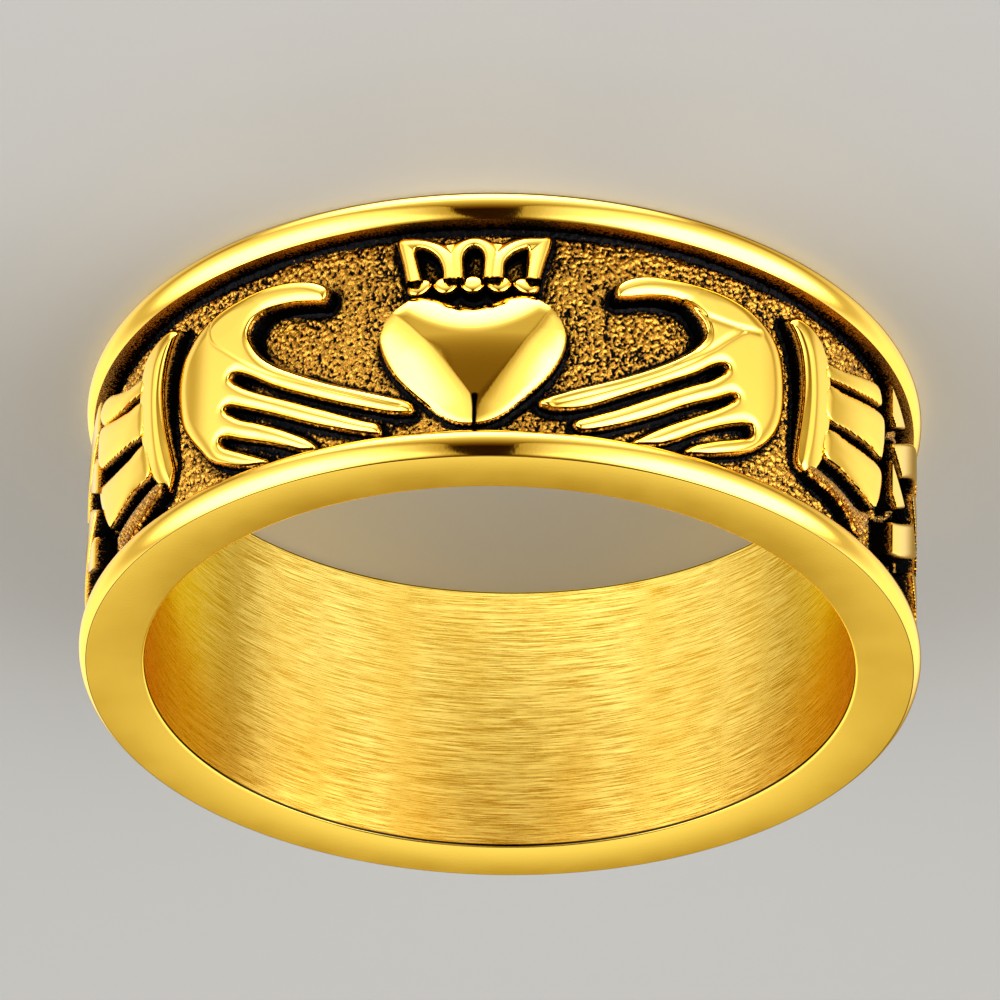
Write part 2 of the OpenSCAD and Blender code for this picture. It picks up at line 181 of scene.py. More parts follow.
RIGHT_PLEATS = [
    [(10.6, 5.38), (11.4, 5.57), (12.2, 5.82), (12.9, 6.02), (13.25, 6.02), (13.42, 5.76), (13.32, 5.55),
        (12.7, 5.42), (12.0, 5.25), (11.2, 5.09), (10.6, 5.01)],
    [(10.6, 4.72), (11.4, 4.88), (12.3, 5.09), (13.1, 5.29), (13.5, 5.32), (13.66, 5.14), (13.68, 4.6),
        (13.6, 4.12), (13.4, 3.97), (12.7, 3.97), (11.7, 3.85), (10.6, 3.78)],
    [(10.6, 3.39), (11.7, 3.5), (12.7, 3.63), (13.4, 3.69), (13.63, 3.5), (13.62, 3.1), (13.45, 2.6),
        (13.15, 2.28), (12.5, 2.3), (11.8, 2.38), (11.2, 2.46), (10.5, 2.56)]]
LEFT_LOW_PLEAT = [(-9.9, 1.8), (-10.6, 1.72), (-11.4, 1.58), (-12.25, 1.38), (-12.1, 1.0), (-11.8, 0.72),
    (-11.3, 0.86), (-10.7, 1.1), (-9.8, 1.46)]
RIGHT_LOW_PLEAT = [(10.0, 1.97), (10.7, 1.92), (11.4, 1.8), (12.1, 1.66), (12.72, 1.82), (12.6, 1.4),
    (12.3, 1.0), (12.0, 1.02), (11.5, 1.38), (10.8, 1.6), (10.0, 1.72)]

# The plait, as on the plain model: four strands, each a rounded zigzag
strands = 4
half_waves = 5
wave_round = 0.97
strand_w = 0.9
strand_gap = 0.3
plait_reach = 2.2
plait_start = 13.75
plait_gap = 0.4
half_wave = (around - 2 * plait_start) / half_waves
# Where a strand is broken, in half waves from every second half wave
BREAKS = [-1.25, -0.75, 0, 0.75]


def unit(a):
    """Each row divided by its own length."""
    return a / np.maximum(np.linalg.norm(a, axis=-1, keepdims=True), 1e-12)


def ramp(x, low, high):
    """0 below low, 1 above high, and between them the smooth step 3f^2 - 2f^3."""
    f = np.clip((x - low) / (high - low), 0, 1)
    return f * f * (3 - 2 * f)


def wrapped(u, v, h):
    """The place on the ring, in metres: an angle of u over the wrapping radius, a radius of
    the floor's plus h, and v down from the upper end face."""
    a = u / wrap_r
    r = floor_r + h
    return np.stack([-r * np.sin(a), -r * np.cos(a), band_w - v], -1) * MM


def in_sight(p, h):
    """The outlines are laid out as the view sees them at the figures' height. A point at
    another height h is moved along that line of sight: against u by the tangent of its angle
    from the view, and against v by the tangent of the view's elevation over the cosine. The
    angle is held to a limit, because the view doesn't see the back."""
    limit = 0.9
    angle = np.clip(p[:, 0] / wrap_r + radians(view_azimuth), -limit, limit)
    slide = np.stack([-np.tan(angle), -tan(radians(view_elevation)) / np.cos(angle)], -1)
    return p + slide * (h - figure_h)[:, None]


def bent(rows, closed, steps=6):
    """A smooth line through the rows: between two of them a cubic whose slope at each is half
    the step from the row before it to the row after it."""
    p = np.asarray(rows, float)
    if closed:
        a, b, c, d = np.roll(p, 1, 0), p, np.roll(p, -1, 0), np.roll(p, -2, 0)
    else:
        q = np.concatenate([p[:1], p, p[-1:]])
        a, b, c, d = q[:-3], q[1:-2], q[2:-1], q[3:]
    f = (np.arange(steps) / steps)[None, :, None]
    a, b, c, d = (x[:, None] for x in (a, b, c, d))
    line = b + (c - a) * f / 2 + (2 * a - 5 * b + 4 * c - d) * f**2 / 2
    line = (line + (3 * b - a - 3 * c + d) * f**3 / 2).reshape(-1, p.shape[1])
    return line if closed else np.concatenate([line, p[-1:]])


def nearest(p, starts, ends):
    """For each point, its distance from the nearest of some straight pieces, and the place there."""
    far = np.empty(len(p))
    place = np.empty_like(p)
    along = ends - starts
    size = np.maximum((along**2).sum(-1), 1e-12)
    for k in range(0, len(p), 20000):
        off = p[k:k + 20000, None] - starts
        f = np.clip((off * along).sum(-1) / size, 0, 1)
        off -= f[..., None] * along
        gaps = (off**2).sum(-1)
        best = gaps.argmin(1)
        pick = np.arange(len(best))
        far[k:k + 20000] = np.sqrt(gaps[pick, best])
        place[k:k + 20000] = p[k:k + 20000] - off[pick, best]
    return far, place


def from_line(p, rows):
    """Distance of points from a smooth open line, and the nearest places on it."""
    line = bent(rows, False)
    return nearest(p, line[:-1], line[1:])


def from_outline(p, loop):
    """Distance of points from a closed outline, more than 0 inside, and the nearest places.
    A point is inside where a line from it along u crosses the outline an odd number of times."""
    ends = np.roll(loop, -1, 0)
    far, place = nearest(p, loop, ends)
    crossings = np.zeros(len(p), int)
    for a, b in zip(loop, ends):
        if a[1] != b[1]:
            between = (a[1] > p[:, 1]) != (b[1] > p[:, 1])
            crossings += between & (p[:, 0] < (b[0] - a[0]) * (p[:, 1] - a[1]) / (b[1] - a[1]) + a[0])
    return np.where(crossings % 2, far, -far), place


def pillow(d, width, rise):
    """A height that grows from 0 at an edge to rise at width from it, as a parabola does."""
    f = 1 - np.clip(d / width, 0, 1)
    return rise * (1 - f * f)


def rounded(d, width, drop):
    """How much a rounded edge lowers the surface at distance d: the quarter of an ellipse, up to
    a share of its width, so that its steepest end is left out."""
    share = 0.96
    f = share * (1 - np.clip(d / width, 0, 1))
    return drop * (1 - np.sqrt(1 - f * f)) / (1 - np.sqrt(1 - share**2))


def groove(p, rows, width, depth):
    """How much a line scored into the surface lowers it: a bell curve across the line."""
    far, _ = from_line(p, rows)
    return depth * np.exp(-(far / width) ** 2)


class Shape:
    """Points, faces, finish of each face and soot and painted shade of each point, gathered piece by
    piece.
    """

    def __init__(self):
        self.points, self.faces, self.finish, self.soot, self.count = [], [], [], [], 0

    def add(self, points, faces, finish, soot):
        self.points.append(points)
        self.soot.append(np.broadcast_to(soot, len(points)))
        for block in faces:
            self.faces.append(block + self.count)
        self.finish += [np.full(len(block), f) for block, f in zip(faces, finish)]
        self.count += len(points)

    def piece(self, name, materials, sharp=35):
        """Puts the gathered shape into one mesh that rides on the ring."""
        mesh = bpy.data.meshes.new(name)
        points = np.concatenate(self.points)
        sizes = np.concatenate([np.full(len(block), block.shape[1]) for block in self.faces])
        corners = np.concatenate([block.ravel() for block in self.faces]).astype(np.int32)
        mesh.vertices.add(len(points))
        mesh.vertices.foreach_set("co", points.astype(np.float32).ravel())
        mesh.loops.add(len(corners))
        mesh.loops.foreach_set("vertex_index", corners)
        mesh.polygons.add(len(sizes))
        starts = np.concatenate([[0], np.cumsum(sizes)[:-1]])
        mesh.polygons.foreach_set("loop_start", starts.astype(np.int32))
        mesh.polygons.foreach_set("material_index", np.concatenate(self.finish).astype(np.int32))
        # Each point's darkening: soot in the hollows, and painted shade on the heart's crest and the end
        # faces' edges
        soot = mesh.attributes.new("soot", "FLOAT", "POINT")
        soot.data.foreach_set("value", np.concatenate(self.soot).astype(np.float32))
        mesh.update(calc_edges=True)
        mesh.validate()
        mesh.shade_smooth()
        mesh.set_sharp_from_angle(angle=radians(sharp))
        for material in materials:
            mesh.materials.append(material)
        piece = bpy.data.objects.new(name, mesh)
        bpy.context.scene.collection.objects.link(piece)
        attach(piece, "root")
        return piece


def square_grid(low, high, step):
    """Points of a square grid over a box, and the four corners of each of its squares."""
    nu, nv = (np.ceil((np.asarray(high) - low) / step) + 1).astype(int)
    u, v = np.meshgrid(low[0] + step * np.arange(nu), low[1] + step * np.arange(nv), indexing="ij")
    index = np.arange(nu * nv).reshape(nu, nv)
    squares = np.stack([index[:-1, :-1], index[1:, :-1], index[1:, 1:], index[:-1, 1:]], -1)
    return np.stack([u, v], -1).reshape(-1, 2), squares.reshape(-1, 4)


def raised(shape, loop, height, step=fine, fringe=0.03, seed=1, black=0.0, stain=None):
    """A raised figure. Its top is height(p, d) over a square grid inside the outline, where d
    is the distance from it, and grid points beside the outline are moved onto it. Its wall
    goes from the outline to the foot, spreading by the draft, and wavers by the fringe. It
    blackens downwards, from the value black at its top. The top may be blackened too: by a
    stain at the crown's feet, and on the heart's crest by painted shade."""
    p, squares = square_grid(loop.min(0) - step, loop.max(0) + step, step)
    d, place = from_outline(p, loop)
    inward = unit((p - place) * np.sign(d)[:, None])
    beside = np.abs(d) < step / 2
    p[beside] = place[beside]
    d[beside] = 0
    inside = d >= 0
    held = inside[squares]
    full = (d[squares] > 0).any(1)
    quads = squares[held.all(1) & full]
    cut = squares[(held.sum(1) == 3) & full]
    cut = cut[inside[cut]].reshape(-1, 3)

    # Sides of faces that belong to one face only are the edge of the top
    sides = np.concatenate([np.stack([f, np.roll(f, -1, 1)], -1).reshape(-1, 2) for f in (quads, cut)])
    key = np.sort(sides, 1) @ np.array([len(p), 1])
    _, first, times = np.unique(key, return_index=True, return_counts=True)
    edge = sides[first[times == 1]]
    used = np.unique(np.concatenate([quads.ravel(), cut.ravel()]))
    new = np.full(len(p), -1)
    new[used] = np.arange(len(used))
    ring = np.unique(edge)
    low = np.full(len(p), -1)
    low[ring] = np.arange(len(ring))

    top = height(p[used], d[used])
    points = [wrapped(*in_sight(p[used], top).T, top)]
    # The top's blackening: a stain at the crown's feet, and painted shade on the heart's crest
    soot = [stain(p[used]) if stain else np.zeros(len(used))]
    waver = np.random.default_rng(seed)
    edge_top = height(p[ring], d[ring])
    shares = (0.12, 0.45, 1.0)
    for share in shares:
        out = draft * share + fringe * (0.4 + waver.random(len(ring))) * (share < 1)
        q = in_sight(p[ring], edge_top) - inward[ring] * out[:, None]
        points.append(wrapped(*q.T, edge_top + (foot_h - edge_top) * share))
        soot.append(np.full(len(ring), black + (1 - black) * min(1, 0.3 + share * 1.6)))
    faces = [new[quads], new[cut]]
    upper = new
    for k in range(len(shares)):
        lower = np.where(low >= 0, low + len(used) + k * len(ring), -1)
        a, b = edge.T
        faces.append(np.stack([upper[a], lower[a], lower[b], upper[b]], -1))
        upper = lower
    finish = [0, 0] + [1] * len(shares)
    shape.add(np.concatenate(points), faces, finish, np.concatenate(soot))


def heart_height(p, d):
    """The middle face is level along a strip a little below the cleft that widens towards the
    lobes. From there it falls to the cleft as a hyperbola does, and to the tip ever more like
    a plane. A side face starts at the middle face's height on its fold and falls away from it
    ever steeper. Towards the tip it is steeper from the start, but less curved. Near the tip it
    starts from a narrow crest instead: its distance is the smooth minimum of those from fold
    and crest."""
    top, summit_v, summit_bend = figure_h + 0.11, 3.75, 0.22
    cleft_slope, cleft_bend, tip_slope, tip_bend = 0.55, 0.4, 0.2, 0.35
    starts, tip_steeper, steep_from, steep_over = (0.12, 0.05), 0.15, 3.9, 2.4
    blend, crest_half, away_u, away_v = 0.04, 0.03, 0.78, 0.62

    def middle(u, v):
        x = np.maximum(summit_v - v, 0)
        to_tip = tip_slope * (x - tip_bend * (1 - np.exp(-x / tip_bend)))
        x = np.maximum(v - summit_v - summit_bend * np.minimum(u * u, 3), 0)
        return top - to_tip - cleft_slope * (np.sqrt(x * x + cleft_bend**2) - cleft_bend)

    u, v = p.T
    h = middle(u, v)
    curve = 0.04 + 0.11 * ramp(v, 1.0, 3.2)
    for side, start, rows in zip((-1, 1), starts, HEART_FOLDS):
        fold = bent(rows, False)[::-1]
        lean = np.gradient(fold[:, 0], fold[:, 1])
        run = 1 / np.sqrt(1 + np.interp(v, fold[:, 1], lean) ** 2)
        from_fold = side * (u - np.interp(v, fold[:, 1], fold[:, 0])) * run
        from_crest = side * (u - CREST[0]) - crest_half
        near = np.exp(-np.clip([from_fold, from_crest], -1, 4) / blend).sum(0)
        past = np.maximum(-blend * np.log(near), 0)
        slope = start + tip_steeper * np.clip((steep_from - v) / steep_over, 0, 1.2)
        fallen = slope * past + curve * past**2
        h = np.minimum(h, middle(u - away_u * side * past, v + away_v * past) - fallen)
    return h - rounded(d, 0.22, 0.05)


def heart_stain(p):
    """Painted shade: black along the crest at the tip, where the ridge is seen dark, a bell curve across
    it, wider at its upper end.
    """
    u, v = p.T
    width = 0.07 + 0.06 * ramp(v, CREST[1] - 0.6, CREST[1])
    return np.exp(-(((u - CREST[0]) / width) ** 2)) * ramp(v, CREST[1] + 0.03, CREST[1] - 0.15)


def crown_height(p, d):
    """The bars are round: from their ridge lines the height falls as the square of the
    distance. The crown leans back, away from the heart, and its feet dip behind the beads."""
    lean, lean_from, dip, bar_half, bar_round = 0.2, 5.6, 0.3, 0.22, 0.07
    v = p[:, 1]
    far = np.min([from_line(p, rows)[0] for rows in CROWN_BARS], 0)
    ridge = figure_h + 0.05 - lean * (v - lean_from) - dip * ramp(v, crown_foot, crown_foot - 0.1)
    return ridge - bar_round * np.minimum(far / bar_half, 1.2) ** 2 - rounded(d, 0.08, 0.05)


def crown_stain(p):
    """Black where the feet dip."""
    return ramp(p[:, 1], crown_foot - 0.01, crown_foot - 0.05)


def bead_height(p, d):
    """A low dome, flatter on top than an ellipse: the root of one less a fourth power of the
    share of the way to the edge. It leans back as the crown does."""
    bead_half, foot, rise, lean, lean_from = 0.25, 0.33, 0.16, 0.25, 5.25
    f = np.clip(1 - d / bead_half, 0, 1)
    dome = rise * np.sqrt(1 - 0.97 * f**4) - 0.04 * f * f
    return foot + dome - lean * (p[:, 1] - lean_from)


def leaning(v):
    """The figures lean: they stand higher towards the crown's end of the band."""
    return 0.075 * (v - 4.4)


def hand_height(side, drop, lines):
    """Fingers are cylinders across their width, and the palm a dome that falls away towards
    the cuff by the drop. Lines are scored into it, each with its own width and depth."""
    palm_u, palm_v, palm_half_u, palm_half_v, palm_rise = 7.3, 3.7, 1.9, 2.7, 0.1
    wrist_from, wrist_over = 7.5, 1.5

    def height(p, d):
        u, v = side * p[:, 0], p[:, 1]
        off = ((u - palm_u) / palm_half_u) ** 2 + ((v - palm_v) / palm_half_v) ** 2
        palm = palm_rise * np.clip(1 - off, 0, 1)
        wrist = drop * np.clip((u - wrist_from) / wrist_over, 0, 1) ** 2
        scored = sum(groove(p, rows, width, depth) for rows, width, depth in lines)
        body = figure_h - 0.12 + leaning(v) + pillow(d, 0.36, 0.1)
        return np.minimum(body + palm - wrist, highest) - rounded(d, 0.12, 0.05) - scored
    return height


def cuff_height(flat):
    """The smooth minimum of a rounded back, which rises away from the hand, and a flat that
    slopes down to the outer edge."""
    middle_u, back_slope, flat_slope, blend = 10, 0.24, 0.25, 0.035

    def height(p, d):
        far, _ = from_line(p, flat)
        low = figure_h - 0.14 + leaning(p[:, 1])
        rise = back_slope * (np.abs(p[:, 0]) - middle_u)
        back = low + rise + pillow(d, 0.55, 0.15) - rounded(d, 0.1, 0.05)
        outer = low + 0.03 + flat_slope * far
        both = -blend * np.log(np.exp(-back / blend) + np.exp(-outer / blend))
        return np.minimum(both, highest)
    return height


def pleat_height(p, d):
    """A shallow round across, with a small round at the edge."""
    return figure_h - 0.08 + leaning(p[:, 1]) + pillow(d, 0.4, 0.04) - rounded(d, 0.1, 0.05)


def low_pleat_height(p, d):
    """A low rough strip: waves of two sines that cross."""
    crumbs = 0.03 * np.sin(41 * p[:, 0]) * np.sin(37 * p[:, 1] + 2)
    return 0.34 + pillow(d, 0.2, 0.06) + crumbs


def strand_height(p, d):
    """Flat, with a small round at the edge."""
    return figure_h - rounded(d, 0.08, 0.05)


def ellipse(u, v, length, width, turn):
    """An ellipse as a closed line, turned about its middle."""
    a = np.linspace(0, 2 * pi, 40, endpoint=False)
    x, y = length * np.cos(a), width * np.sin(a)
    c, s = cos(radians(turn)), sin(radians(turn))
    return np.stack([u + c * x - s * y, v + s * x + c * y], -1)


def strand_place(j, x):
    """Strand j after x half waves: u grows with x, and the place across the band is a
    triangle wave with rounded turns, the arc sine of a sine."""
    across = np.degrees(np.arcsin(wave_round * np.sin(pi * x))) / degrees(asin(wave_round))
    return np.stack([plait_start + (x - j / 2) * half_wave, band_w / 2 + plait_reach * across], -1)


def strand_outline(j, a, b, cut_a, cut_b):
    """One piece of a strand from a to b: both sides, half a width to each side of its line.
    At a cut the sides end along the strand that crosses there, or along v at the plait's end."""
    x = np.linspace(a, b, max(4, ceil((b - a) * 24)))
    way = unit(strand_place(j, x + 0.01) - strand_place(j, x - 0.01))
    side = np.stack([-way[:, 1], way[:, 0]], -1)
    for k, cut in ((0, cut_a), (-1, cut_b)):
        slant = np.array([way[k, 0], -way[k, 1]]) if cut else np.array([0.0, 1.0])
        side[k] = slant / (slant @ side[k])
    line = strand_place(j, x)
    half = strand_w / 2
    return np.concatenate([line + half * side, (line - half * side)[::-1]])


def strand_outlines():
    """All pieces of the plait. A strand is broken where it goes under another."""
    slope = atan(pi / 2 * plait_reach / half_wave * wave_round / (asin(wave_round) / (pi / 2)))
    trim = (strand_w / 2 + strand_gap) / (2 * sin(slope)) / half_wave
    end = plait_gap / half_wave
    found = []
    for j in range(strands):
        first, last = j / 2 + end, j / 2 + half_waves - end
        for wave in range(0, half_waves + 3, 2):
            for k in range(len(BREAKS) - 1):
                a, b = wave + BREAKS[k] + trim, wave + BREAKS[k + 1] - trim
                inner_a, inner_b = a > first, b < last
                a, b = max(a, first), min(b, last)
                if b - a > 0.08:
                    found.append(strand_outline(j, a, b, inner_a, inner_b))
    return found


def noise_field(shape, blur, seed):
    """Even noise on a grid that closes on itself: random numbers smoothed by a bell curve of
    blur squares, done as a product of their Fourier waves, and scaled to a spread of 1."""
    values = np.random.default_rng(seed).normal(size=shape)
    waves = [np.fft.fftfreq(n) for n in shape]
    bell = np.exp(-2 * (pi * blur) ** 2 * (waves[0][:, None] ** 2 + waves[1][None] ** 2))
    values = np.fft.ifft2(np.fft.fft2(values) * bell).real
    return values / values.std()


def channel_floor(loops, materials):
    """The sunk floor: a height over a grid right round the ring, in four parts. Its stippling is
    a fine noise, whose low parts are black. Beside each figure and rim it sinks into a shallow
    blackened moat, a bell curve of the gap to them, and it stops a little way under figures."""
    nu = int(round(around / stipple))
    v = np.arange(channel[0] - 0.03, channel[1] + 0.03 + stipple / 2, stipple)
    u = (np.arange(nu) / nu - 0.5) * around
    grid = np.stack(np.meshgrid(u, v, indexing="ij"), -1)
    size = grid.shape[:2]
    flat = grid.reshape(-1, 2)
    gap = np.minimum(flat[:, 1] - channel[0], channel[1] - flat[:, 1])
    under = np.zeros(len(flat), bool)
    reach, overlap = 0.7, 0.12
    for loop in loops:
        # The plait runs past half way round, so its outlines are met one turn back too
        for turn in (0, -around):
            shifted = loop + [turn, 0]
            near = ((flat > shifted.min(0) - reach) & (flat < shifted.max(0) + reach)).all(1)
            if near.any():
                d, _ = from_outline(flat[near], shifted)
                gap[near] = np.minimum(gap[near], -d)
                under[near] |= d > overlap
    grain_h, moat_depth, moat_middle, moat_half = 0.035, 0.07, 0.16, 0.1
    grain = noise_field(size, 0.55, 3).ravel()
    patch = noise_field(size, 12, 4).ravel()
    beside = 1 - ramp(gap + 0.03 * patch, 0.13, 0.29)
    pits = 1 - ramp(grain + 0.2 * patch, -1.1, 0.4)
    soot = np.maximum(beside, pits)
    moat = moat_depth * np.exp(-((gap - moat_middle) / moat_half) ** 2)
    height = grain_h * np.clip(grain, -2, 1.5) * (1 - 0.6 * beside) - moat
    index = np.arange(len(flat)).reshape(size)
    after = np.roll(index, -1, 0)
    squares = np.stack([index[:, :-1], after[:, :-1], after[:, 1:], index[:, 1:]], -1)
    points = wrapped(flat[:, 0], flat[:, 1], height)
    parts = (("left", 0.22, 0.5), ("right", 0.5, 0.78), ("back_right", 0.78, 1.0),
        ("back_left", 0.0, 0.22))
    for name, first, last in parts:
        faces = squares[int(first * nu):int(last * nu)].reshape(-1, 4)
        faces = faces[~under[faces].all(1)]
        used = np.unique(faces)
        new = np.full(len(flat), -1)
        new[used] = np.arange(len(used))
        shape = Shape()
        shape.add(points[used], [new[faces]], [0], soot[used])
        shape.piece("channel_floor_" + name, materials, sharp=180)


def band(materials):
    """The band: a closed profile of radius and height carried round the axis. Its rims' tops
    are arcs over the rims' width, its edges are small arcs that run on into them, and between
    the rims it lies a little under the channel's floor."""
    dome_r = ((rim_w / 2) ** 2 + rim_dome**2) / (2 * rim_dome)
    dome_at = np.array([rim_r - dome_r, rim_w / 2])
    start = asin((rim_w / 2 - edge_round) / (dome_r - edge_round))
    edge_at = np.array([dome_at[0] + (dome_r - edge_round) * cos(start), edge_round])

    def arc(middle, radius, first, last, count):
        a = np.linspace(first, last, count)
        return middle + radius * np.stack([np.cos(a), -np.sin(a)], -1)

    inner = arc(np.array([bore_r + edge_break, edge_break]), edge_break, pi, pi / 2, edge_steps)
    outer = arc(edge_at, edge_round, pi / 2, start, edge_steps)
    dome = arc(dome_at, dome_r, start, -asin(rim_w / 2 / dome_r), dome_steps)
    lower = np.concatenate([inner, outer, dome[1:], [[floor_r - 0.15, rim_w]]])
    upper = np.stack([lower[::-1, 0], band_w - lower[::-1, 1]], -1)
    profile = np.concatenate([lower, upper])
    # Finish of each stretch: bore 2, end faces 1, rims 0, and the channel's walls and floor 3
    stretch = np.array([1] * edge_steps + [0] * (edge_steps + dome_steps - 2) + [3])
    finish = np.concatenate([stretch, [3], stretch[::-1], [2]])
    angle = np.arange(band_turns) / band_turns * 2 * pi
    r, z = profile.T
    points = np.stack([r * np.cos(angle)[:, None], r * np.sin(angle)[:, None],
        np.broadcast_to(z, (band_turns, len(z)))], -1) * MM
    index = np.arange(band_turns * len(profile)).reshape(band_turns, -1)
    on, beside = np.roll(index, -1, 0), np.roll(index, -1, 1)
    squares = np.stack([index, on, np.roll(on, -1, 1), beside], -1)
    # The channel's walls, the profile's four middle points, blacken downwards
    walls = np.abs(np.arange(len(r)) - len(lower) + 0.5) < 2
    soot = np.clip((floor_r + 0.55 - r) / 0.5, 0, 1) * walls
    # Painted shade: a thin dark line along each edge of the end faces, at two points of each small arc,
    # where those arcs are seen dark
    for k in (1, 2, edge_steps + 2, edge_steps + 3):
        soot[[k, -1 - k]] = 1
    shape = Shape()
    faces = [squares[:, finish == k].reshape(-1, 4) for k in range(4)]
    shape.add(points.reshape(-1, 3), faces, range(4), np.tile(soot, band_turns))
    return shape.piece("band", materials, sharp=30)


def node_adder(tree):
    """A short way to add nodes to a tree: each link is a socket and its value or source."""
    def add(kind, links=(), **values):
        node = tree.nodes.new(kind)
        for key, value in values.items():
            setattr(node, key, value)
        for socket, source in links:
            if hasattr(source, "is_output"):
                tree.links.new(source, node.inputs[socket])
            else:
                node.inputs[socket].default_value = source
        return node
    return add


def node_material(name):
    """A new material with a metal shader, and the short way to add nodes to it."""
    material = bpy.data.materials.new(name)
    material.use_nodes = True
    tree = material.node_tree
    shader = tree.nodes["Principled BSDF"]
    shader.inputs["Metallic"].default_value = 1
    return material, tree, shader, node_adder(tree)


def calc(add, operation, *values):
    """One step of arithmetic."""
    return add("ShaderNodeMath", list(enumerate(values)), operation=operation).outputs[0]


def noise(add, place, size, detail=2, roughness=0.5):
    """Noise with features of about size mm, on the piece's own coordinates."""
    return add("ShaderNodeTexNoise", [("Vector", place), ("Scale", 1 / (size * MM)),
        ("Detail", detail), ("Roughness", roughness)]).outputs["Fac"]


def raise_by(add, shader, height, strength, depth):
    """Bumps the surface by a height, as deep as depth mm."""
    bump = add("ShaderNodeBump", [("Strength", strength), ("Distance", depth * MM), ("Height", height)])
    bump.id_data.links.new(bump.outputs["Normal"], shader.inputs["Normal"])


def between(add, factor, low, high, to_low=0.0, to_high=1.0):
    """Maps low to high onto to_low to to_high."""
    return add("ShaderNodeMapRange", [("Value", factor), ("From Min", low), ("From Max", high),
        ("To Min", to_low), ("To Max", to_high)]).outputs["Result"]


def smooth(add, factor, low, high, to_low=0.0, to_high=1.0):
    """The same with a smooth step."""
    return add("ShaderNodeMapRange", [("Value", factor), ("From Min", low), ("From Max", high),
        ("To Min", to_low), ("To Max", to_high)], interpolation_type="SMOOTHSTEP").outputs["Result"]


def blend_colour(add, factor, one, other):
    """A mix of two colours."""
    node = add("ShaderNodeMix", data_type="RGBA")
    for socket, value in ((0, factor), (6, one), (7, other)):
        if hasattr(value, "is_output"):
            node.id_data.links.new(value, node.inputs[socket])
        else:
            node.inputs[socket].default_value = value
    return node.outputs[2]


GOLD = (1.0, 0.68, 0.12, 1)
DEEP_GOLD = (0.98, 0.61, 0.085, 1)
SATIN_GOLD = (1.0, 0.68, 0.11, 1)
STROKE_HOLLOW = (0.58, 0.33, 0.022, 1)
STROKE_RIDGE = (1.0, 0.78, 0.2, 1)
BORE_CLOUD = (0.74, 0.42, 0.03, 1)
# Painted shade on the bore's sides
BORE_SIDE_SHADE = (0.42, 0.27, 0.008, 1)
WALL_GOLD = (0.7, 0.36, 0.045, 1)
FLOOR_GOLD = (0.5, 0.285, 0.039, 1)
AMBER = (0.38, 0.15, 0.015, 1)
SOOT = (0.0035, 0.0035, 0.004, 1)
# Sheens are the colours of reflections at a glance along the surface
POLISHED_SHEEN = (1.0, 0.92, 0.7, 1)
SATIN_SHEEN = (1.0, 0.78, 0.3, 1)
SOOT_SHEEN = (0.1, 0.1, 0.12, 1)
WHITE = (1.0, 1.0, 1.0, 1)
PALE_GREY = (0.27, 0.268, 0.262, 1)


def stained(add, colour):
    """A colour that turns black where the points' soot and painted shade pass the middle."""
    soot = add("ShaderNodeAttribute", attribute_name="soot").outputs["Fac"]
    return blend_colour(add, between(add, soot, 0.3, 0.7), colour, SOOT)


def polished_gold():
    """Rims and figures: mirror polish with faint smears and hair lines, black where stained and where
    shade is painted.
    """
    material, tree, shader, add = node_material("polished_gold")
    place = add("ShaderNodeTexCoord").outputs["Object"]
    smears = noise(add, place, 2.2, 3)
    tree.links.new(between(add, smears, 0.3, 0.7, 0.05, 0.09), shader.inputs["Roughness"])
    clean = blend_colour(add, noise(add, place, 5, 1), GOLD, DEEP_GOLD)
    tree.links.new(stained(add, clean), shader.inputs["Base Color"])
    shader.inputs["Specular Tint"].default_value = POLISHED_SHEEN
    hairs = noise(add, place, 0.08, 2)
    raise_by(add, shader, hairs, strength=0.25, depth=0.002)
    return material


def satin_gold():
    """End faces: fine satin, with a thin black line of painted shade along the edge by the bore."""
    material, tree, shader, add = node_material("satin_gold")
    place = add("ShaderNodeTexCoord").outputs["Object"]
    tree.links.new(stained(add, SATIN_GOLD), shader.inputs["Base Color"])
    shader.inputs["Specular Tint"].default_value = SATIN_SHEEN
    smears = noise(add, place, 1.5, 3)
    tree.links.new(between(add, smears, 0.3, 0.7, 0.16, 0.24), shader.inputs["Roughness"])
    raise_by(add, shader, noise(add, place, 0.05, 2), strength=0.3, depth=0.004)
    return material


def brushed_gold():
    """Bore: short fine lines that run round it, which spread reflections along the axis, over
    paler and deeper clouds drawn out along the axis. A noise squeezed along z gives the lines.
    The colour deepens towards the sides along x: painted shade."""
    material, tree, shader, add = node_material("brushed_gold")
    place = add("ShaderNodeTexCoord").outputs["Object"]
    lines = add("ShaderNodeMapping", [("Vector", place), ("Scale", (1, 1, 36))]).outputs["Vector"]
    tall = add("ShaderNodeMapping", [("Vector", place), ("Scale", (1, 1, 0.3))]).outputs["Vector"]
    strokes = noise(add, lines, 1.1, 3, 0.7)
    clouds = noise(add, tall, 2.2, 2)
    colour = blend_colour(add, between(add, strokes, 0.38, 0.62), STROKE_HOLLOW, STROKE_RIDGE)
    colour = blend_colour(add, between(add, clouds, 0.4, 0.7, 0, 0.45), colour, BORE_CLOUD)
    # Painted shade: darker gold towards the bore's sides along x
    aside = calc(add, "ABSOLUTE", add("ShaderNodeSeparateXYZ", [(0, place)]).outputs[0])
    aside = smooth(add, aside, 0.7 * bore_r * MM, bore_r * MM, 0, 0.7)
    tree.links.new(blend_colour(add, aside, colour, BORE_SIDE_SHADE), shader.inputs["Base Color"])
    tree.links.new(between(add, strokes, 0.3, 0.7, 0.22, 0.34), shader.inputs["Roughness"])
    shader.inputs["Specular Tint"].default_value = SATIN_SHEEN
    shader.inputs["Anisotropic"].default_value = 0.75
    shader.inputs["Anisotropic Rotation"].default_value = 0.25
    round_axis = add("ShaderNodeTangent", direction_type="RADIAL", axis="Z").outputs["Tangent"]
    tree.links.new(round_axis, shader.inputs["Tangent"])
    raise_by(add, shader, strokes, strength=1.0, depth=0.006)
    return material


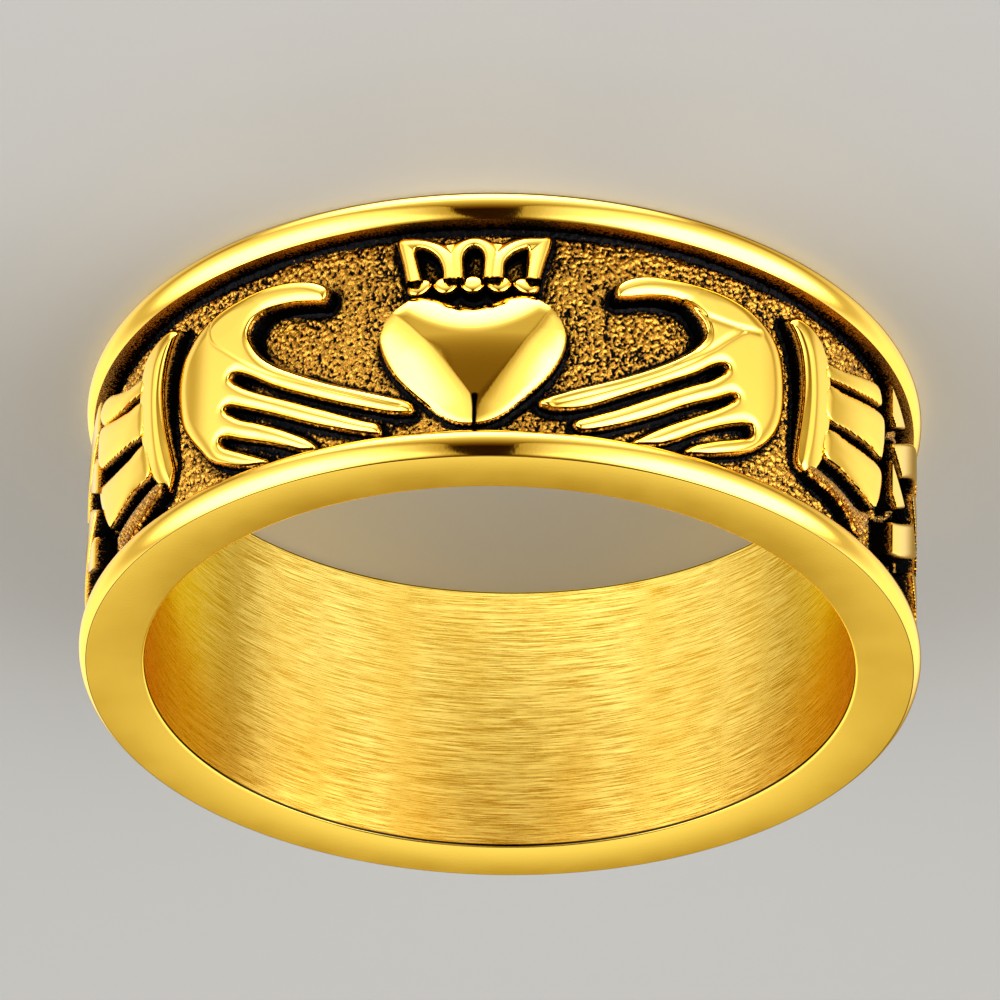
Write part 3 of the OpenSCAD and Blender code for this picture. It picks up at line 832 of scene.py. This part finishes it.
def cast_gold(name, light, soot_low, soot_high):
    """Walls and floor as cast: rough, and black where the soot that each point carries, with
    some noise, passes a limit."""
    material, tree, shader, add = node_material(name)
    place = add("ShaderNodeTexCoord").outputs["Object"]
    soot = add("ShaderNodeAttribute", attribute_name="soot").outputs["Fac"]
    rough = noise(add, place, 0.06, 3, 0.65)
    patchy = calc(add, "ADD", between(add, rough, 0.25, 0.75, -0.5, 0.5), soot)
    black = between(add, patchy, soot_low, soot_high)
    tree.links.new(blend_colour(add, black, WHITE, SOOT_SHEEN), shader.inputs["Specular Tint"])
    colour = blend_colour(add, between(add, rough, 0.4, 0.6), AMBER, light)
    tree.links.new(blend_colour(add, black, colour, SOOT), shader.inputs["Base Color"])
    tree.links.new(between(add, black, 0, 1, 0.24, 0.34), shader.inputs["Roughness"])
    raise_by(add, shader, rough, strength=0.8, depth=0.03)
    return material


def ring_pieces():
    """All visible pieces of the ring, in place of the plain model."""
    polished, satin, brushed = polished_gold(), satin_gold(), brushed_gold()
    wall = cast_gold("cast_walls", WALL_GOLD, soot_low=0.22, soot_high=0.5)
    ground = cast_gold("stippled_floor", FLOOR_GOLD, soot_low=0.34, soot_high=0.66)
    figures = [polished, wall]

    loops = []

    def figure(shape, rows, height, closed=True, **more):
        loop = bent(rows, True) if closed else rows
        loops.append(in_sight(loop, height(loop, np.zeros(len(loop)))))
        raised(shape, loop, height, **more)

    pieces = [band([polished, satin, brushed, wall])]
    heart = Shape()
    # The heart's crest carries painted shade: a black line down the tip
    figure(heart, HEART, heart_height, stain=heart_stain)
    pieces.append(heart.piece("heart", figures))

    crown = Shape()
    figure(crown, CROWN, crown_height, step=0.025, stain=crown_stain)
    for k, bead in enumerate(BEADS):
        figure(crown, ellipse(*bead), bead_height, closed=False, step=0.02, fringe=0, seed=k, black=0.9)
    pieces.append(crown.piece("crown", figures))

    # Columns of the hands' lines: line, width, depth
    right_lines = [(RIGHT_LINE, 0.1, 0.045), (RIGHT_ROOT, 0.1, 0.04), (RIGHT_WEB, 0.05, 0.02)]
    hands = {"left": (LEFT_HAND, hand_height(-1, 0.1, [(LEFT_LINE, 0.035, 0.02)])),
        "right": (RIGHT_HAND, hand_height(1, 0.04, right_lines))}
    for name, (outline, height) in hands.items():
        hand = Shape()
        figure(hand, outline, height)
        pieces.append(hand.piece(name + "_hand", figures))

    sleeves = {"left": (LEFT_CUFF, LEFT_CUFF_FLAT, LEFT_PLEATS, LEFT_LOW_PLEAT),
        "right": (RIGHT_CUFF, RIGHT_CUFF_FLAT, RIGHT_PLEATS, RIGHT_LOW_PLEAT)}
    for name, (cuff_rows, flat, pleats, low_pleat) in sleeves.items():
        cuff = Shape()
        figure(cuff, cuff_rows, cuff_height(flat))
        pieces.append(cuff.piece(name + "_cuff", figures))
        sleeve = Shape()
        for k, pleat in enumerate(pleats):
            figure(sleeve, pleat, pleat_height, step=plain, seed=k)
        pieces.append(sleeve.piece(name + "_sleeve", figures))
        edging = Shape()
        figure(edging, low_pleat, low_pleat_height, step=plain, fringe=0.06)
        pieces.append(edging.piece(name + "_edging", [ground, wall]))

    plait = Shape()
    for k, outline in enumerate(strand_outlines()):
        figure(plait, outline, strand_height, closed=False, step=plain, fringe=0.01, seed=k)
    pieces.append(plait.piece("plait", figures))

    channel_floor(loops, [ground])
    for piece in pieces:
        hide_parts("ring")


def camera():
    """Stands at the view's angles and distance from the ring's middle, rolled about its own
    line of sight so that the crown points up in the picture, and moved aside by the aim."""
    data = bpy.data.cameras.new("camera")
    data.lens = view_lens
    data.sensor_width = 36
    data.clip_start, data.clip_end = 0.01, 10
    eye = bpy.data.objects.new("camera", data)
    bpy.context.scene.collection.objects.link(eye)
    eye.matrix_world = (Matrix.Translation((0, 0, band_w / 2 * MM))
        @ Matrix.Rotation(radians(view_azimuth), 4, "Z")
        @ Matrix.Rotation(radians(90 - view_elevation), 4, "X")
        @ Matrix.Rotation(radians(view_roll), 4, "Z")
        @ Matrix.Translation(Vector((-aim_right, -aim_up, view_distance)) * MM))
    bpy.context.scene.camera = eye


def softbox(name, azimuth, elevation, width, height, brightness, edge):
    """A soft light that faces the ring's middle from light_distance. Azimuth 0 is in front of
    the heart and 90 to its +X side, and the width and height are angles too, in degrees. It
    dims towards its sides over the edge, a share of its size."""
    data = bpy.data.lights.new(name, "AREA")
    data.shape = "RECTANGLE"
    data.size, data.size_y = (2 * light_distance * tan(radians(x / 2)) * MM for x in (width, height))
    data.energy = brightness * pi * data.size * data.size_y
    data.use_nodes = True
    tree = data.node_tree
    add = node_adder(tree)
    across = add("ShaderNodeSeparateXYZ", [(0, add("ShaderNodeNewGeometry").outputs["Parametric"])])
    shares = []
    for axis in (0, 1):
        middle = calc(add, "ABSOLUTE", calc(add, "SUBTRACT", across.outputs[axis], 0.5))
        shares.append(smooth(add, middle, 0.5, 0.5 - edge))
    strength = calc(add, "MULTIPLY", *shares)
    tree.links.new(strength, tree.nodes["Emission"].inputs["Strength"])
    lamp = bpy.data.objects.new(name, data)
    bpy.context.scene.collection.objects.link(lamp)
    a, e = radians(azimuth), radians(elevation)
    back = Vector((sin(a) * cos(e), -cos(a) * cos(e), sin(e)))
    lamp.location = Vector((0, 0, band_w / 2 * MM)) + back * light_distance * MM
    lamp.rotation_euler = back.to_track_quat("Z", "Y").to_euler()


def flat_stage(name, corners, colour):
    """A flat matt sheet of the studio, from its corners in mm."""
    material = bpy.data.materials.new(name)
    material.use_nodes = True
    shader = material.node_tree.nodes["Principled BSDF"]
    shader.inputs["Base Color"].default_value = colour
    shader.inputs["Roughness"].default_value = 0.6
    mesh = bpy.data.meshes.new(name)
    mesh.from_pydata([Vector(c) * MM for c in corners], [], [range(len(corners))])
    mesh.materials.append(material)
    sheet = bpy.data.objects.new(name, mesh)
    bpy.context.scene.collection.objects.link(sheet)
    return sheet


def room_light():
    """The room's brightness by direction, in degrees. Straight ahead it is dark above the
    horizon, and grows below it as a power of the angle down. At both sides, past an edge that
    bends outwards below the horizon as the square of the angle down, it is a soft pale wall,
    which is dimmer along an upright seam at each side, and low down behind the ring. A bright
    disc lies almost straight down, and a dimmer one straight up. Dim light is warmer: its green
    and blue are multiplied by powers of itself."""
    world = bpy.data.worlds.new("room")
    world.use_nodes = True
    tree = world.node_tree
    add = node_adder(tree)

    def plus(a, b):
        return calc(add, "ADD", a, b)

    def minus(a, b):
        return calc(add, "SUBTRACT", a, b)

    def times(a, b):
        return calc(add, "MULTIPLY", a, b)

    def power(a, b):
        return calc(add, "POWER", a, b)

    way = add("ShaderNodeTexCoord").outputs["Generated"]
    x, y, z = add("ShaderNodeSeparateXYZ", [(0, way)]).outputs
    azimuth = calc(add, "DEGREES", calc(add, "ARCTAN2", x, times(y, -1.0)))
    elevation = calc(add, "DEGREES", calc(add, "ARCSINE", z))
    facing = 1.0
    aside = calc(add, "ABSOLUTE", minus(azimuth, facing))

    half_gap, bend = 8.0, 0.0155
    top_of_fade, fade_over, steepness, brightest, darkest = 15.0, 70.0, 1.6, 1.25, 0.02
    down = calc(add, "MAXIMUM", times(elevation, -1.0), 0.0)
    edge = plus(times(power(down, 2.0), bend), half_gap)
    below = calc(add, "MAXIMUM", calc(add, "DIVIDE", minus(top_of_fade, elevation), fade_over), 0.0)
    ahead = plus(times(power(below, steepness), brightest), darkest)
    ahead = times(ahead, smooth(add, calc(add, "DIVIDE", aside, edge), 1.35, 0.8))

    wall_foot, wall_top, seam_at = 0.44, 1.5, 104.0
    past = minus(aside, edge)
    rise = plus(smooth(add, past, 0.0, 2.0, 0.0, 0.35), smooth(add, past, 0.0, 18.0, 0.0, 0.65))
    upper_end = smooth(add, elevation, 72.0, 50.0, 0.05, 1.0)
    wall = times(smooth(add, elevation, -75.0, -8.0, wall_foot, wall_top), upper_end)
    wall = times(wall, rise)
    seam = calc(add, "ABSOLUTE", minus(aside, seam_at))
    wall = times(wall, smooth(add, seam, 0.0, 20.0, 0.5, 1.0))
    behind = smooth(add, aside, 150.0, 170.0)
    dimmed = times(behind, smooth(add, elevation, 42.0, 24.0, 0.15, 0.72))
    wall = times(wall, minus(1.0, dimmed))

    disc_above = smooth(add, elevation, 76.0, 88.0, 0.0, 0.6)
    disc_middle = (0.09, -0.15, -0.985)
    middle = add("ShaderNodeVectorMath", [(0, way), (1, disc_middle)], operation="DOT_PRODUCT")
    off = calc(add, "DEGREES", calc(add, "ARCCOSINE", middle.outputs["Value"]))
    disc_below = smooth(add, off, 36.0, 2.0, 0.0, 6.8)

    green_power, blue_power = 0.27, 1.2
    level = plus(plus(ahead, plus(wall, disc_above)), disc_below)
    dim = calc(add, "MINIMUM", level, 1.0)
    green = times(level, power(dim, green_power))
    blue = times(level, power(dim, blue_power))
    colour = add("ShaderNodeCombineColor", [(0, level), (1, green), (2, blue)]).outputs[0]
    tree.links.new(colour, tree.nodes["Background"].inputs["Color"])
    bpy.context.scene.world = world


def studio():
    """A pale floor, a room that is pale at the sides and dim ahead, and a soft light at each
    side of the view. The ring's reflections look past the floor, into the room below it."""
    half = floor_half
    corners = [(-half, -half, 0), (half, -half, 0), (half, half, 0), (-half, half, 0)]
    floor = flat_stage("floor", corners, PALE_GREY)
    floor.visible_glossy = floor.visible_shadow = False
    room_light()
    softbox("left_softbox", azimuth=62, elevation=22, width=82, height=84, brightness=4.8, edge=0.4)
    softbox("right_softbox", azimuth=-64, elevation=22, width=78, height=84, brightness=5.8, edge=0.35)
    bpy.context.scene.view_settings.view_transform = "Standard"


ring_pieces()
camera()
studio()
